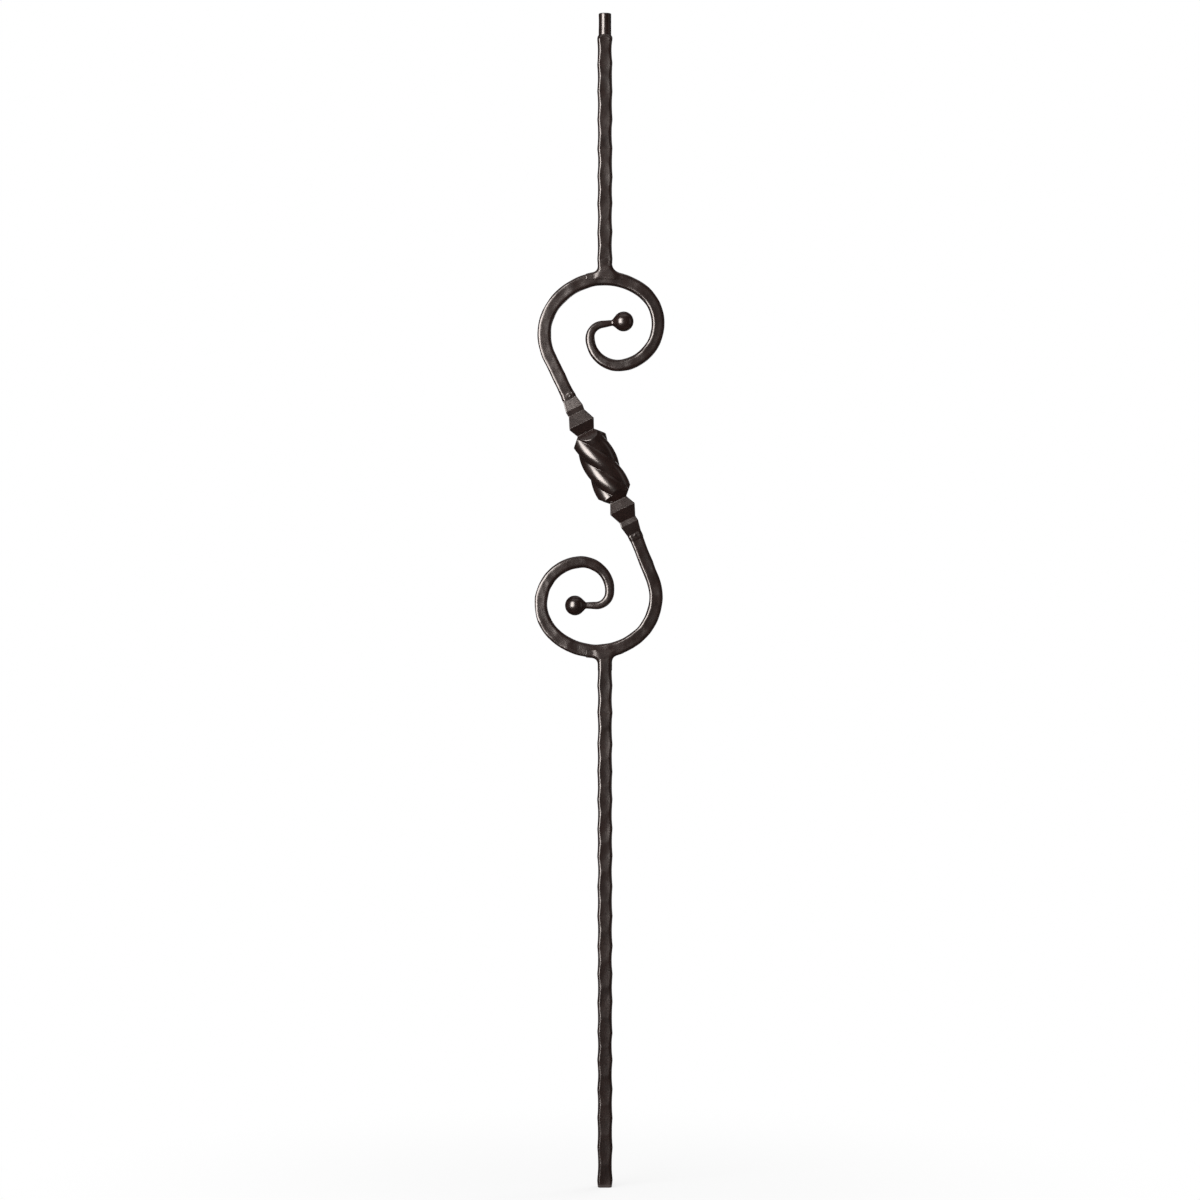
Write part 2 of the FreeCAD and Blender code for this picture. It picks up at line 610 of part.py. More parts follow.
def butt_weld(which):
    """Weld between the knuckle's end face and a scroll's tail, a little proud of both."""
    body = new_body(f"{which}_knuckle_weld")
    crown = "(Sizes.scroll_side + 2 * Sizes.butt_crown)"
    near = octagon_at(body, f"{which}_weld_near", "Sizes.scroll_side", "Sizes.scroll_corner",
                      "Sizes.stem_reach")
    middle = octagon_at(body, f"{which}_weld_middle", crown, "Sizes.scroll_corner",
                        "Sizes.stem_reach + Sizes.butt_gap / 2")
    far = octagon_at(body, f"{which}_weld_far", "Sizes.scroll_side", "Sizes.scroll_corner",
                     "Sizes.stem_reach + Sizes.butt_gap")
    far.AttachmentOffset = FreeCAD.Placement(
        V(0, 0, value("Sizes.stem_reach + Sizes.butt_gap")),
        FreeCAD.Rotation(ACROSS, value(f"Sizes.{which}_bend")))
    loft(body, f"{which}_weld_loft", [near, middle, far])
    on_knuckle(body, turned=which == "lower")
    return body


def fillet_weld(which, stock):
    """Concave weld round the joint of bar and scroll, cut to both.

    It is drawn about the point where the bar line meets the outside of the arch, with
    the bar going up; the wide leg lies on the side away from the scroll's tail.
    """
    half = "Sizes.bar_side / 2"
    edge = f"({half} + Sizes.fillet_edge)"
    outside = "(Sizes.scroll_radius_two + Sizes.scroll_side / 2)"
    crown = f"Sizes.{which}_crown"
    legs = ((1, "Sizes.fillet_wide"), (-1, "Sizes.fillet_narrow"))

    body = new_body(f"{which}_weld_blank")
    sketch = sketch_on(body, f"{which}_weld_outline", "XZ_Plane")
    height = "Sizes.fillet_height"
    toes = []
    for side, leg in legs:
        toe = f"({half} + {leg})"
        level = (f"(sqrt({outside}^2 - ({toe} - {side} * {crown})^2)"
                 f" - sqrt({outside}^2 - {crown}^2))")
        width = f"({toe} - {edge})"
        radius = f"(({width}^2 + ({height} - {level})^2) / (2 * {width}))"
        toes.append((side, toe, level, radius))
        centre = V(side * value(f"{edge} + {radius}"), value(height), 0)
        reach = math.atan2(value(f"{height} - {level}"), value(f"{radius} - {width}"))
        begin, end = (math.pi, math.pi + reach) if side > 0 else (-reach, 0.0)
        circle = Part.Circle(centre, UP, value(radius))
        sketch.addGeometry(Part.ArcOfCircle(circle, begin, end), False)
    right, left = [value(toe) for _, toe, _, _ in toes]
    drop, top, inner = -value("Sizes.fillet_depth"), value(height), value(edge)
    points = [V(right, value(toes[0][2]), 0), V(right, drop, 0), V(-left, drop, 0),
              V(-left, value(toes[1][2]), 0)]
    for start, end in zip(points, points[1:]):
        sketch.addGeometry(Part.LineSegment(start, end), False)
    sketch.addGeometry(Part.LineSegment(V(-inner, top, 0), V(inner, top, 0)), False)
    for joint in ((0, 2, 2, 1), (2, 2, 3, 1), (3, 2, 4, 1), (4, 2, 1, 1), (1, 2, 5, 1), (5, 2, 0, 1)):
        sketch.addConstraint(Sketcher.Constraint("Coincident", *joint))
    for line, kind in ((2, "Vertical"), (3, "Horizontal"), (4, "Vertical"), (5, "Horizontal")):
        sketch.addConstraint(Sketcher.Constraint(kind, line))
    for arc, (side, toe, level, radius) in enumerate(toes):
        upper_end, lower_end = ((arc, 1), (arc, 2)) if side > 0 else ((arc, 2), (arc, 1))
        sketch.addConstraint(Sketcher.Constraint("Horizontal", arc, 3, *upper_end))
        between(sketch, "DistanceX", (-1, 1), upper_end, side, to=edge)
        between(sketch, "DistanceX", (-1, 1), lower_end, side, to=toe)
        hold(sketch, "Radius", arc, to=radius)
    hold(sketch, "DistanceY", -1, 1, 5, 1, to=height)
    hold(sketch, "DistanceY", 3, 1, -1, 1, to="Sizes.fillet_depth")

    pad = body.newObject("PartDesign::Pad", f"{which}_weld_pad")
    pad.Profile = sketch
    pad.SideType = "Symmetric"
    bind(pad, Length="Sizes.bar_side + 2 * Sizes.fillet_cover")
    turn = 0 if which == "upper" else 180
    sign = "+" if which == "upper" else "-"
    body.Placement.Rotation = FreeCAD.Rotation(ACROSS, turn)
    bind(body, Placement__Base__z=f"Sizes.knuckle_height {sign} {arch_reach(which)}")
    doc.recompute()
    round_bar = combine("Cut", f"{which}_weld_round_bar", body, stock)
    return combine("Cut", f"{which}_bar_weld", round_bar, doc.getObject(f"{which}_scroll"))


def combine(kind, name, base, tool):
    """Boolean of two objects, of the kind Cut, Common or Fuse."""
    piece = doc.addObject(f"Part::{kind}", name)
    piece.Base = base
    piece.Tool = tool
    doc.recompute()
    return piece


def baluster():
    """All sub-parts, each under the name that its file gets."""
    scrolls = [scroll("upper", 1), scroll("lower", -1)]
    stocks = {"upper": upper_bar(), "lower": lower_bar()}
    bars = [combine("Cut", f"{which}_bar", stock, doc.getObject(f"{which}_scroll"))
            for which, stock in stocks.items()]
    welds = [fillet_weld(which, stock) for which, stock in stocks.items()]
    butts = [butt_weld(which) for which in stocks]
    return scrolls + bars + welds + butts + [knuckle()]


def write(pieces):
    """Check every object, then write each sub-part to a file of its own."""
    doc.recompute()
    for thing in doc.Objects:
        if "Invalid" in thing.State or "Error" in thing.State:
            raise RuntimeError(f"{thing.Name} did not build: {thing.State}")
    os.makedirs("parts", exist_ok=True)
    for piece in pieces:
        shape = piece.Shape
        if shape.isNull() or not shape.isValid() or len(shape.Solids) != 1:
            raise RuntimeError(f"{piece.Name} is not one valid solid")
        piece.Label = piece.Name
        shape.exportStep(f"parts/{piece.Label}.step")
        print(f"{piece.Label}: {shape.Volume / 1000:.2f} cm3")


make_sheet()
write(baluster())
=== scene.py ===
"""Looks of the forged iron stair baluster: hammered skins, welds, paint, studio.

Shapes are worked out in millimetres in the frame of the solids (+Z up, front towards -Y)
and turned into metres when a mesh is made.  Sizes are in millimetres unless noted.
"""
import math

import bpy
import numpy as np
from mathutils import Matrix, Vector


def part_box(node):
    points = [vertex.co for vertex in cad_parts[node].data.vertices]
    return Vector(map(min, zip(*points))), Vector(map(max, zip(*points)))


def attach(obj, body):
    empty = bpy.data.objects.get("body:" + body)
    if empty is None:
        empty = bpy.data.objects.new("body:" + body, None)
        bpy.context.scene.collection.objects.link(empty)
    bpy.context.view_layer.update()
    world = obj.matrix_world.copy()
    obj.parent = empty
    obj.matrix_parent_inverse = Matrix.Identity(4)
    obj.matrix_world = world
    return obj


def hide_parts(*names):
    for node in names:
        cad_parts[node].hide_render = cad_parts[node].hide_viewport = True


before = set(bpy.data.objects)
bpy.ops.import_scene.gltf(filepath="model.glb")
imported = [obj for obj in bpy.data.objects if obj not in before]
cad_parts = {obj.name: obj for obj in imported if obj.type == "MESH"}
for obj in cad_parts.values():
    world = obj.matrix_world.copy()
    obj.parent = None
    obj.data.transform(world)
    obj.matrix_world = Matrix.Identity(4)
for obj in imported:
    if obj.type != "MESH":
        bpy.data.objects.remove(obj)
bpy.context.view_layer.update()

MM = 0.001
TAU = 2 * math.pi
QUARTER = math.pi / 2

# Photograph: pixels of its 1200 by 1200 frame, and their size on the object
PIXEL = 0.953
PHOTO_SIDE = 1200
BAR_LINE_PX = 604.9
FLOOR_LINE_PX = 1186.7
UPPER_RIDGES_PX = [38.5, 63.5, 91, 119.5, 149, 176.5, 203, 232, 259]
LOWER_RIDGES_PX = [685.5, 712, 743.5, 771.5, 800, 828.5, 856, 887, 916, 946, 973, 1002,
                   1032, 1060, 1090, 1118, 1148, 1179]

# Flats: faces turned further away than this cosine are left alone, out of the flat's reach
LEAST_FACING = 0.05
OUT_OF_REACH = 1e3

# Distance between the rings of the bars' and scrolls' skins
RING_STEP = 0.8

# Bars
BAR_SIDE = 14.6
BAR_CORNER = 3.5
BAR_SOFT = 0.15
BAR_GRAIN = [(16.0, 0.04), (5.0, 0.008)]
BAR_TURNS = (96, 1.25)

# Hammering of the bars: dents, the wander and softness of the ridges between them, and how
# far those of the front and back cut into the corners and hollow the faces
DENT_DEPTH = 0.8
DENT_SHARES = (0.75, 1.15)
RIDGE_WANDER = 0.8
RIDGE_BLUR = 0.6
FACE_CUT = 0.3
FACE_HOLLOW = 0.35
FLAT_HOLLOW = 0.12

# Tenon, the turned shoulder below it, and the broken edges of both ends
TENON_RADIUS = 6.0
TENON_LENGTH = 20.0
TENON_EDGE = 0.8
TENON_STEP = 1.0
SHOULDER_STEP = 0.3
SHOULDER_BELOW = 5
SHOULDER_ABOVE = 2
SHOULDER_DROP = 0.6
SHOULDER_SLOPE = 0.75
SHOULDER_SOFT = 0.6
FOOT_EDGE = 1.0
FOOT_EDGE_SHARE = 0.8

# Pin hole
PIN_RADIUS = 3.4
PIN_HEIGHT = 6.9
PIN_LIP = 0.5
PIN_SIDES = 48

# Scrolls: bending radii, sweeps in degrees and stock after each bend
SCROLL_SIDE = 13.4
SCROLL_CORNER = 2.9
RADII = [49.0, 60.0, 40.0, 27.0, 13.0]
STOCK = [13.4, 13.4, 11.9, 9.4, 7.7]
SWEEPS = {"upper": [63.0, 85.0, 138.0, 97.0, 85.0], "lower": [72.0, 82.0, 131.0, 103.0, 84.0]}
BEND = {"upper": 0.0, "lower": 4.0}
CROWN = {"upper": 0.0, "lower": 7.4}
TIP_RUN = {"upper": 10.4, "lower": 10.0}
NECK = {"upper": 6.0, "lower": 7.0}
SCROLL_GRAIN = [(13.0, 0.06), (5.0, 0.012)]
SCROLL_TURNS = (96, 1.2)

# Corner radius as a share of the half side at the tail, at six tenths and at the neck
ROUNDING = [0.5, 0.56, 0.98]
ROUNDING_MIDDLE = 0.6

# Hammering of the scrolls' faces
HAMMER_GAPS = (13, 27)
HAMMER_COUNT = 40
HAMMER_START = -20
HAMMER_DEPTHS = (0.1, 0.5)
HAMMER_BLUR = 1.2
FACE_OVERSIZE = 1.015
SCROLL_SOFT = 0.9
SCROLL_HOLLOW = 0.1

# Front and back faces lean outward on the limbs, and come level over these end lengths
LIMB_LEAN = math.radians(3.5)
LEVEL_TAIL = 30
LEVEL_TIP = 60

# Ball, and the fluted cone behind it
BALL_RADIUS = 9.5
BALL_ROWS = 60
BALL_END_TURN = 0.03
CONE_SLOPE = math.radians(45)
CONE_ROWS = 14
CONE_START = 0.3
CONE_END_SHARE = 0.97
FLUTE_DEPTH = 0.22
FLUTE_END_SHARE = 0.75
FLUTE_FADE = 4

# Knuckle: stations along its axis as (distance from the centre, side)
KNUCKLE_HEIGHT = 686.4
KNUCKLE_LEFT = 2.7
KNUCKLE_TILT = math.radians(25.65)
KNUCKLE_CENTRE = np.array([-KNUCKLE_LEFT, 0, KNUCKLE_HEIGHT])
KNUCKLE_AXIS = np.array([-math.sin(KNUCKLE_TILT), 0, math.cos(KNUCKLE_TILT)])
KNUCKLE_ACROSS = np.array([math.cos(KNUCKLE_TILT), 0, math.sin(KNUCKLE_TILT)])
KNUCKLE_GRAIN = [(12.0, 0.02), (4.0, 0.006)]
KNUCKLE_TURNS = (144, 1.4)
NECK_REACH = 35.5
STEM_REACH = 71.5
STATIONS = [(35.5, 17.0), (44.9, 25.6), (56.0, 16.4), (60.9, 17.5), (71.5, 13.4)]
COLLAR_STEP = 0.5
COLLAR_CORNER = 0.5
CREASE_BLUR = 0.3
CREASE_ROWS = np.array([-0.35, -0.2, -0.1, 0, 0.1, 0.2, 0.35])

# Lobes: their circle, where a lobe faces the front, and the height of a quarter turn
LOBE_RADIUS = 10.6
LOBE_OFFSET = 6.67
LOBE_FRONT = 6.2
QUARTER_TURN = 26.9
LOBE_SOFT = 0.35
BODY_STEP = 0.35
BODY_START = 0.2
BODY_END = 0.1
SETTLING = 1.6

# Butt welds between knuckle and scrolls
BUTT_GAP = 3.0
BUTT_REACH = 4.2
BUTT_ROWS = 44
BUTT_TURNS = (144, 1.1)
BUTT_SWELL = 0.42
BUTT_SINK = 0.12
BUTT_GRAIN = [(3.0, 0.012)]
LUMP_WAVE = 3.4
LUMP_FLOOR = -0.4
LUMP_EVEN = 0.03
LUMP_ROUGH = 0.1
ROUGH_TURN = 0.3 * math.pi
ROUGH_SPREAD = 0.5

# Fillet welds between bars and scrolls: block of cells that holds one, and its shape
CELL = 0.45
BLOCK_REACH = 19.0
BLOCK_DEEP = 8.4
BLOCK_RISE = 13.0
BLOCK_DROP = 9.0
BAR_INSET = 0.45
BAR_FOOT = 4
FILLET = 5.5
FILLET_RIGHT = {"upper": 9.0, "lower": 6.5}
FILLET_SHIFT = 4
FILLET_CHANGE = 10
GROUND_PROUD = 0.05
GROUND_SOFT = 1.0
WELD_SINK = 0.02
WELD_WAVE = 9.0
WELD_RELIEF = 0.02

# Coat: the darker and the lighter tone of its mottling, its shine and its relief (metres)
DARK_COAT = (0.0145, 0.0064, 0.0050)
LIGHT_COAT = (0.0235, 0.0110, 0.0088)
COAT_STOPS = (0.35, 0.68)
COAT_IOR = 1.5
SHINE_TINT = (1.0, 0.92, 0.87, 1.0)
SMOOTH_STOP = (0.3, 0.24)
ROUGH_STOP = (0.7, 0.29)
CLOUD_SCALE = 70
ROUGHNESS_SCALE = 95
HAMMERED_SCALE = 90
HAMMERED_STRENGTH = 0.24
HAMMERED_DEPTH = 0.00015
EGGSHELL_SCALE = 500
EGGSHELL_STRENGTH = 0.1
EGGSHELL_DEPTH = 0.00002

# Floor, in metres: it turns white to the eye between these distances from the foot
FLOOR_HALF = 30.0
FLOOR_TONE = 0.9
FADE_FROM = 0.05
FADE_TO = 0.6
FADE_LEAST = 0.75

# Dark sheet round the set, in metres: it glows at a fixed dim tone and shows only in reflections, a
# painted dark reflection
TENT_RADIUS = 3.0
TENT_FLOOR = 0.003
TENT_HEIGHT = 5.0
# Fixed glow of the sheet, the tone of the painted dark reflection
TENT_TONE = 0.04
TENT_SIDES = 48

# Lamps, in degrees and metres: azimuth, elevation, distance, width, height, radiance, and
# whether the lamp shows in gloss alone or lights without showing
LAMPS = {
    "key_shine": (-35, 3, 2.2, 1.35, 2.4, 26.0, True),
    "side_shine": (80, 3, 2.4, 0.6, 2.2, 0.8, True),
    "back_shine": (165, 3, 2.2, 0.5, 2.4, 1.0, True),
    "key_fill": (-38, 25, 2.2, 1.7, 2.4, 2.4, False),
    "back_fill": (142, 25, 2.2, 1.7, 2.4, 2.0, False),
}
LAMP_AIM = Vector((0, 0, 0.62))
WORLD_TONE = 0.5
HALF_VIEW = math.radians(9.3)


# Shapes

def ripple(points, wavelength, seed, waves=14):
    """Smooth random relief of unit size over points in millimetres, the same on each run."""
    random = np.random.default_rng(seed)
    ways = random.normal(size=(waves, 3))
    ways /= np.linalg.norm(ways, axis=1)[:, None]
    lengths = wavelength * random.uniform(0.75, 1.5, waves)
    starts = random.uniform(0, TAU, waves)
    phase = points @ (ways / lengths[:, None]).T * TAU + starts
    return np.cos(phase).sum(-1) * math.sqrt(2 / waves)


def soft_min(a, b, soft):
    """Smaller of two values, blended where they are within the given distance."""
    share = np.clip(0.5 + 0.5 * (b - a) / soft, 0, 1)
    return b + (a - b) * share - soft * share * (1 - share)


def soft_max(a, b, soft):
    """Larger of two values, blended where they are within the given distance."""
    return -soft_min(-a, -b, soft)


def ease(share):
    """Smooth step from 0 to 1."""
    share = np.clip(share, 0, 1)
    return share * share * (3 - 2 * share)


def turns(count, crowding):
    """Angles round a section, closer together at its four corners."""
    quarter = count // 4
    steps = (np.arange(quarter) - quarter / 2) / (quarter / 2)
    offsets = np.sign(steps) * np.abs(steps) ** crowding * math.pi / 4
    return np.concatenate([offsets + math.pi / 4 + k * QUARTER for k in range(4)])


def rounded_square(angle, half_u, half_v, corner):
    """Middle to outline of a rectangle with round corners, in the given directions."""
    c, s = np.abs(np.cos(angle)), np.abs(np.sin(angle))
    flat_u, flat_v = half_u - corner, half_v - corner
    along = flat_u * c + flat_v * s
    inside = np.maximum(along ** 2 - flat_u ** 2 - flat_v ** 2 + corner ** 2, 0)
    side_u = half_u / np.maximum(c, 1e-6)
    side_v = half_v / np.maximum(s, 1e-6)
    outline = np.where(side_v * c <= flat_u, side_v, along + np.sqrt(inside))
    return np.where(side_u * s <= flat_v, side_u, outline)


def cut_flat(outline, turn, distance, hollow, soft):
    """Cut an outline back to one flat, hollow across its width by the given depth.

    The turn is the angle from the flat's own direction.
    """
    facing = np.cos(turn)
    beside = np.clip(np.tan(turn), -1, 1)
    level = distance - hollow * (1 - beside ** 2)
    reach = np.where(facing > LEAST_FACING, level / np.maximum(facing, LEAST_FACING),
                     OUT_OF_REACH)
    return soft_min(outline, reach, soft)


def dents(along, ridges, depth, soft):
    """Depth below the stock of a row of shallow hollows that meet at the ridges."""
    spot = np.clip(np.searchsorted(ridges, along) - 1, 0, len(ridges) - 2)
    share = (along - ridges[spot]) / (ridges[spot + 1] - ridges[spot])
    share = np.clip(share, 0, 1)
    deep = depth[spot] * 4 * share * (1 - share)
    step = abs(along[1] - along[0])
    reach = int(3 * soft / step) + 1
    bell = np.exp(-0.5 * (np.arange(-reach, reach + 1) * step / soft) ** 2)
    padded = np.pad(deep, reach, mode="edge")
    return np.convolve(padded, bell / bell.sum(), mode="valid")


# Meshes

def mesh_piece(name, points, faces, material):
    """Smooth piece that rides on the root body and replaces the solid of the same name."""
    mesh = bpy.data.meshes.new(name)
    mesh.from_pydata([tuple(p) for p in np.asarray(points) * MM], [], faces)
    mesh.polygons.foreach_set("use_smooth", [True] * len(mesh.polygons))
    mesh.materials.append(material)
    mesh.validate()
    piece = bpy.data.objects.new(name, mesh)
    bpy.context.scene.collection.objects.link(piece)
    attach(piece, "root")
    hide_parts(name)
    return piece


def skin_faces(rows, round_count):
    """Quads between rings, and a cap at each end."""
    faces = []
    for row in range(rows - 1):
        low = row * round_count
        high = low + round_count
        for spot in range(round_count):
            after = (spot + 1) % round_count
            faces.append((low + spot, low + after, high + after, high + spot))
    faces.append(tuple(reversed(range(round_count))))
    faces.append(tuple(range((rows - 1) * round_count, rows * round_count)))
    return faces


def skin(name, centres, ways_u, angles, radii, material, grain, seed):
    """Closed skin of rings, each in the plane of its own direction and front to back.

    The grain is a list of (wavelength, height) of fine relief, with seeds counted up.
    """
    ways_v = np.array([0, 1.0, 0])
    u = radii * np.cos(angles)
    v = radii * np.sin(angles)
    points = centres[:, None] + u[..., None] * ways_u[:, None] + v[..., None] * ways_v
    outward = points - centres[:, None]
    outward /= np.maximum(np.linalg.norm(outward, axis=2), 1e-6)[..., None]
    for number, (wavelength, height) in enumerate(grain):
        relief = height * ripple(points, wavelength, seed + number)
        points = points + outward * relief[..., None]
    faces = skin_faces(*radii.shape)
    return mesh_piece(name, points.reshape(-1, 3), faces, material)


# Bars

def height_of(pixel):
    """Height above the floor of a row of the photograph."""
    return (FLOOR_LINE_PX - pixel) * PIXEL


def box_heights(node):
    """Lowest and highest point of a solid."""
    low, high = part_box(node)
    return low.z / MM, high.z / MM


def bar_flats(heights, ridges, seed):
    """Distances of a hammered bar's four faces; front and back dents lie half a dent later."""
    random = np.random.default_rng(seed)
    between = (ridges[:-1] + ridges[1:]) / 2
    pitch = np.diff(ridges).mean()
    side_ridges = np.concatenate([[ridges[0] - pitch], ridges, [ridges[-1] + pitch]])
    face_ridges = np.concatenate([[between[0] - pitch], between, [between[-1] + pitch]])

    def flat(rows):
        depth = DENT_DEPTH * random.uniform(*DENT_SHARES, len(rows) - 1)
        shifted = rows + random.uniform(-RIDGE_WANDER, RIDGE_WANDER, len(rows))
        return BAR_SIDE / 2 - dents(heights, shifted, depth, RIDGE_BLUR)

    return [flat(side_ridges), flat(face_ridges), flat(side_ridges), flat(face_ridges)]


def hammered_bar(name, heights, even, ridges_px, seed, shape, material):
    """Bar skin whose rings are unevenly spaced; the hammering is worked out evenly.

    The dents of the two side faces carry the round corners with them.  Those of the front
    and back cut flats into the corners, and are hollow across their width.
    """
    ridges = np.array([height_of(px) for px in reversed(ridges_px)])
    angles = turns(*BAR_TURNS)[None, :]
    flats = [np.interp(heights, even, flat)[:, None] for flat in bar_flats(even, ridges, seed)]
    half = BAR_SIDE / 2
    side = np.where(np.cos(angles) > 0, flats[0], flats[2])
    outline = rounded_square(angles, side, half, BAR_CORNER)
    for face in (1, 3):
        dent = half - flats[face]
        outline = cut_flat(outline, angles - face * QUARTER, half - FACE_CUT * dent,
                           FLAT_HOLLOW + FACE_HOLLOW * dent, BAR_SOFT)
    outline = shape(outline, heights[:, None])
    centres = np.stack([0 * heights, 0 * heights, heights], axis=1)
    across = np.repeat([[1.0, 0, 0]], len(heights), axis=0)
    return skin(name, centres, across, angles, outline, material, BAR_GRAIN, seed + 1)


def upper_bar(material):
    """Upper bar, turned down to the round tenon."""
    low, top = box_heights("upper_bar")
    shoulder = top - TENON_LENGTH
    close, open_again = shoulder - SHOULDER_BELOW, shoulder + SHOULDER_ABOVE
    rim = top - TENON_EDGE + TENON_EDGE * np.sin(np.linspace(0, QUARTER, 7))
    heights = np.concatenate([np.arange(low, close, RING_STEP),
                              np.arange(close, open_again, SHOULDER_STEP),
                              np.arange(open_again, top - TENON_EDGE * 1.5, TENON_STEP), rim])
    even = np.arange(low, top + RING_STEP, RING_STEP)

    def shape(outline, height):
        over = np.clip((height - top + TENON_EDGE) / TENON_EDGE, 0, 1)
        rounded = TENON_EDGE * np.sqrt(np.clip(1 - over ** 2, 0, 1))
        tenon = TENON_RADIUS - TENON_EDGE + rounded
        cone = tenon + (shoulder - SHOULDER_DROP - height) * SHOULDER_SLOPE
        return soft_min(outline, np.maximum(tenon, cone), SHOULDER_SOFT)

    return hammered_bar("upper_bar", heights, even, UPPER_RIDGES_PX, 11, shape, material)


def lower_bar(material):
    """Lower bar, with a broken edge round its foot and the cross hole for the pin."""
    low, top = box_heights("lower_bar")
    rim = low + FOOT_EDGE - FOOT_EDGE * np.sin(np.linspace(QUARTER, 0, 6))
    heights = np.concatenate([rim, np.arange(low + FOOT_EDGE * 1.5, top, RING_STEP), [top]])
    even = np.arange(low - RING_STEP, top + RING_STEP, RING_STEP)

    def shape(outline, height):
        over = np.clip((low + FOOT_EDGE - height) / FOOT_EDGE, 0, 1)
        return outline - FOOT_EDGE * (1 - np.sqrt(1 - over ** 2)) * FOOT_EDGE_SHARE

    drill(hammered_bar("lower_bar", heights, even, LOWER_RIDGES_PX, 23, shape, material))


def drill(bar):
    """Cross hole for the pin, with a lightly broken rim front and back."""
    half = BAR_SIDE / 2
    mouth = PIN_RADIUS + PIN_LIP + 1
    profile = [(-half - 1, mouth), (-half + PIN_LIP, PIN_RADIUS),
               (half - PIN_LIP, PIN_RADIUS), (half + 1, mouth)]
    around = [TAU * k / PIN_SIDES for k in range(PIN_SIDES)]
    points = [(r * math.cos(turn), y, PIN_HEIGHT + r * math.sin(turn))
              for y, r in profile for turn in around]
    mesh = bpy.data.meshes.new("pin_cutter")
    mesh.from_pydata([tuple(c * MM for c in p) for p in points], [],
                     skin_faces(len(profile), PIN_SIDES))
    cutter = bpy.data.objects.new("pin_cutter", mesh)
    bpy.context.scene.collection.objects.link(cutter)
    hole = bar.modifiers.new("pin_hole", "BOOLEAN")
    hole.object = cutter
    hole.operation = "DIFFERENCE"
    hole.solver = "EXACT"
    graph = bpy.context.evaluated_depsgraph_get()
    drilled = bpy.data.meshes.new_from_object(bar.evaluated_get(graph))
    bar.modifiers.clear()
    bar.data = drilled
    bpy.data.objects.remove(cutter)


# Scrolls

def scroll_line(which):
    """Middle line in the knuckle's frame, stock along it, and its end.

    A spot is (x, z, heading, length so far).
    """
    reach = STEM_REACH + BUTT_GAP
    x = -(reach * math.sin(KNUCKLE_TILT) + (KNUCKLE_LEFT if which == "upper" else -KNUCKLE_LEFT))
    z = reach * math.cos(KNUCKLE_TILT)
    heading = QUARTER + KNUCKLE_TILT - math.radians(BEND[which])
    sweeps = [math.radians(sweep) for sweep in SWEEPS[which]]
    after = heading - sweeps[0]
    run = x + RADII[0] * (math.sin(heading) - math.sin(after)) + RADII[1] * math.sin(after)
    tail = (run - CROWN[which]) / -math.cos(heading)
    spots, stock, length = [], [(0.0, SCROLL_SIDE)], 0.0

    def straight(distance):
        nonlocal x, z, length
        for part in np.arange(0, distance, RING_STEP):
            spots.append((x + part * math.cos(heading), z + part * math.sin(heading), heading,
                          length + part))
        x += distance * math.cos(heading)
        z += distance * math.sin(heading)
        length += distance

    straight(tail)
    for radius, sweep, side in zip(RADII, sweeps, STOCK):
        centre_x, centre_z = x + radius * math.sin(heading), z - radius * math.cos(heading)
        for part in np.arange(0, sweep, RING_STEP / radius):
            turn = heading - part
            spots.append((centre_x - radius * math.sin(turn), centre_z + radius * math.cos(turn),
                          turn, length + radius * part))
        heading -= sweep
        x, z = centre_x - radius * math.sin(heading), centre_z + radius * math.cos(heading)
        length += radius * sweep
        stock.append((length, side))
    straight(TIP_RUN[which])
    stock.append((length, NECK[which]))
    return np.array(spots), np.array(stock), (x, z, heading, length)


def scroll_outline(angles, along, heading, stock, length, seed):
    """Sections of the hammered stock, from the weld to the neck behind the ball."""
    side = np.interp(along, stock[:, 0], stock[:, 1])
    half = (side / 2)[:, None]
    rounding = np.interp(along, [0, length * ROUNDING_MIDDLE, length], ROUNDING)
    outline = rounded_square(angles, half, half, half * rounding[:, None])

    even = np.arange(0, length + 1, RING_STEP)
    calm = side / SCROLL_SIDE
    level_ends = ease(along / LEVEL_TAIL) * ease((length - along) / LEVEL_TIP)
    lean = (LIMB_LEAN * level_ends * np.sin(heading) ** 2)[:, None]
    random = np.random.default_rng(seed)
    for face, lean_way in enumerate((0, 1, 0, -1)):
        ridges = np.cumsum(random.uniform(*HAMMER_GAPS, HAMMER_COUNT)) + HAMMER_START
        depth = random.uniform(*HAMMER_DEPTHS, HAMMER_COUNT - 1)
        hollow = np.interp(along, even, dents(even, ridges, depth, HAMMER_BLUR))
        distance = (side / 2 * FACE_OVERSIZE - hollow * calm)[:, None]
        outline = cut_flat(outline, angles - face * QUARTER + lean * lean_way, distance,
                           SCROLL_HOLLOW, SCROLL_SOFT)
    return outline


def ball_outline(angles, neck):
    """Sections of the fluted cone and the ball behind it, and their distances from the neck."""
    centre = BALL_RADIUS / math.sin(CONE_SLOPE) - neck / math.tan(CONE_SLOPE)
    touch = centre - BALL_RADIUS * math.sin(CONE_SLOPE)
    cone_rows = np.linspace(CONE_START, touch * CONE_END_SHARE, CONE_ROWS)
    cone = neck + cone_rows * math.tan(CONE_SLOPE)
    share = cone_rows / touch
    flute = ease(share) * (1 - ease((share - FLUTE_END_SHARE) * FLUTE_FADE))
    corners = angles - math.pi / 4
    facets = np.maximum(np.abs(np.cos(corners)), np.abs(np.sin(corners)))
    fluted = 1 - FLUTE_DEPTH * flute[:, None] * (facets - facets.min())

    ball_turn = np.linspace(math.pi - (QUARTER - CONE_SLOPE), BALL_END_TURN, BALL_ROWS)
    ball_rows = centre + BALL_RADIUS * np.cos(ball_turn)
    ball = np.repeat((BALL_RADIUS * np.sin(ball_turn))[:, None], angles.shape[1], axis=1)
    return np.concatenate([cone[:, None] * fluted, ball]), np.concatenate([cone_rows, ball_rows])


